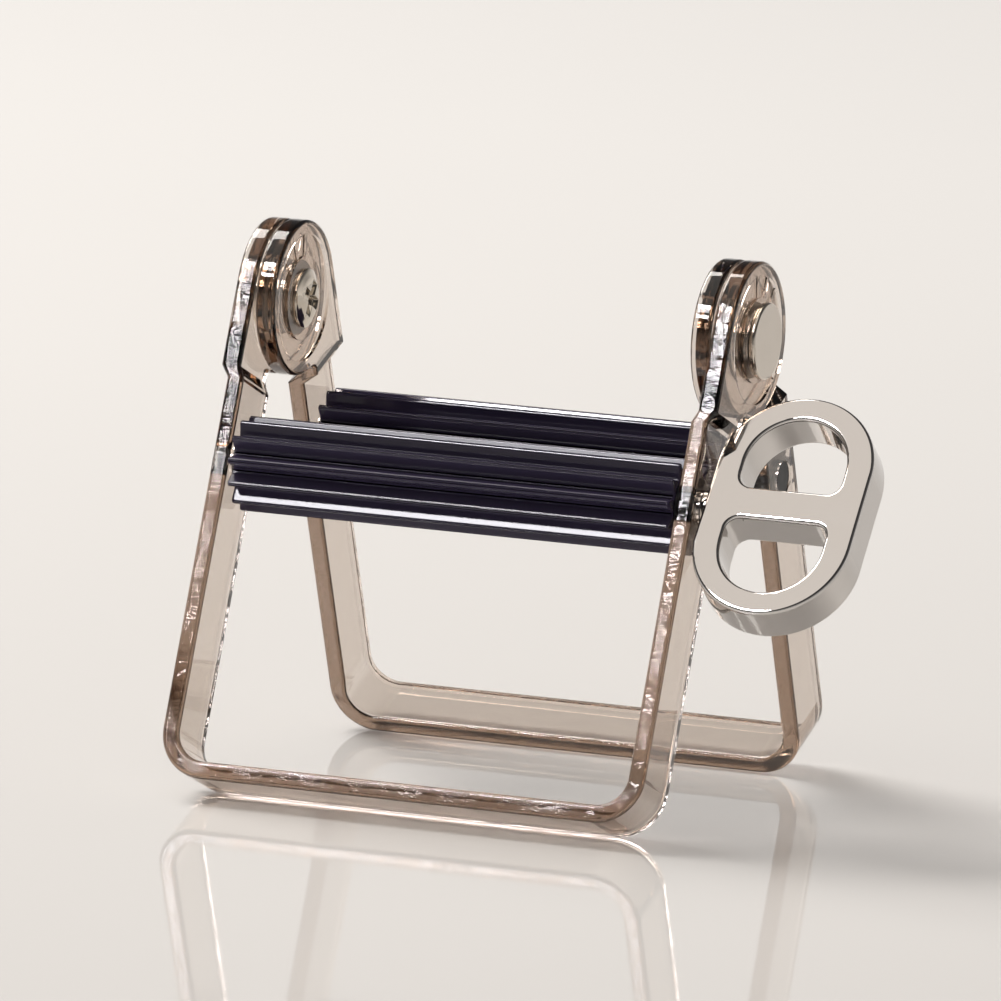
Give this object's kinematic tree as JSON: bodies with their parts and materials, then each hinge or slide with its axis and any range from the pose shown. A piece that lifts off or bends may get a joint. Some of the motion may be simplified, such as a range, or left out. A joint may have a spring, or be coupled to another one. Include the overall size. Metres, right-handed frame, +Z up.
{
  "type": "toothpaste tube squeezer",
  "caption": "Folding tube squeezer: two clear hinged frames stand as an A, each with a fluted roller between its legs, and a flat key winds the front roller.",
  "frame": {"origin": "on the table, under the middle of the whole width and depth", "axes": "+X along the rollers towards the key, +Y from the front frame to the rear frame, +Z up"},
  "size_m": [0.0984, 0.0738, 0.0771],
  "materials": {
    "clear_smoke": "clear moulded plastic with a warm smoke tint, polished",
    "roller_black": "blue-black, satin to glossy",
    "plug_black": "black moulded plastic",
    "key_chrome": "bright chrome",
    "hinge_chrome": "bright chrome with a satin cap face",
    "washer_nylon": "natural nylon",
    "spring_steel": "bright spring steel"
  },
  "bodies": {
    "front": {"front_frame": "clear_smoke", "left_hinge_cap": "hinge_chrome", "left_hinge_screw": "hinge_chrome", "right_hinge_cap": "hinge_chrome", "right_hinge_screw": "hinge_chrome", "left_friction_washer": "washer_nylon", "right_friction_washer": "washer_nylon", "left_spring_washer": "spring_steel", "right_spring_washer": "spring_steel"},
    "rear": {"rear_frame": "clear_smoke"},
    "front_roller": {"front_roller": "roller_black", "front_roller_left_plug": "plug_black", "front_roller_drive_plug": "plug_black", "winding_key": "key_chrome"},
    "rear_roller": {"rear_roller": "roller_black", "rear_roller_left_plug": "plug_black", "rear_roller_right_plug": "plug_black"}
  },
  "joints": [
    {"name": "frame_fold", "type": "hinge", "parent": "front", "child": "rear", "pos_m": [-0.01045, 0, 0.06611], "axis": [1, 0, 0], "range_deg": [-40, 76]},
    {"name": "front_roller_turn", "type": "hinge", "parent": "front", "child": "front_roller", "pos_m": [-0.01045, -0.01514, 0.04451], "axis": [1, 0, 0], "continuous": true},
    {"name": "rear_roller_turn", "type": "hinge", "parent": "rear", "child": "rear_roller", "pos_m": [-0.01045, 0.01514, 0.04451], "axis": [1, 0, 0], "continuous": true}
  ]
}
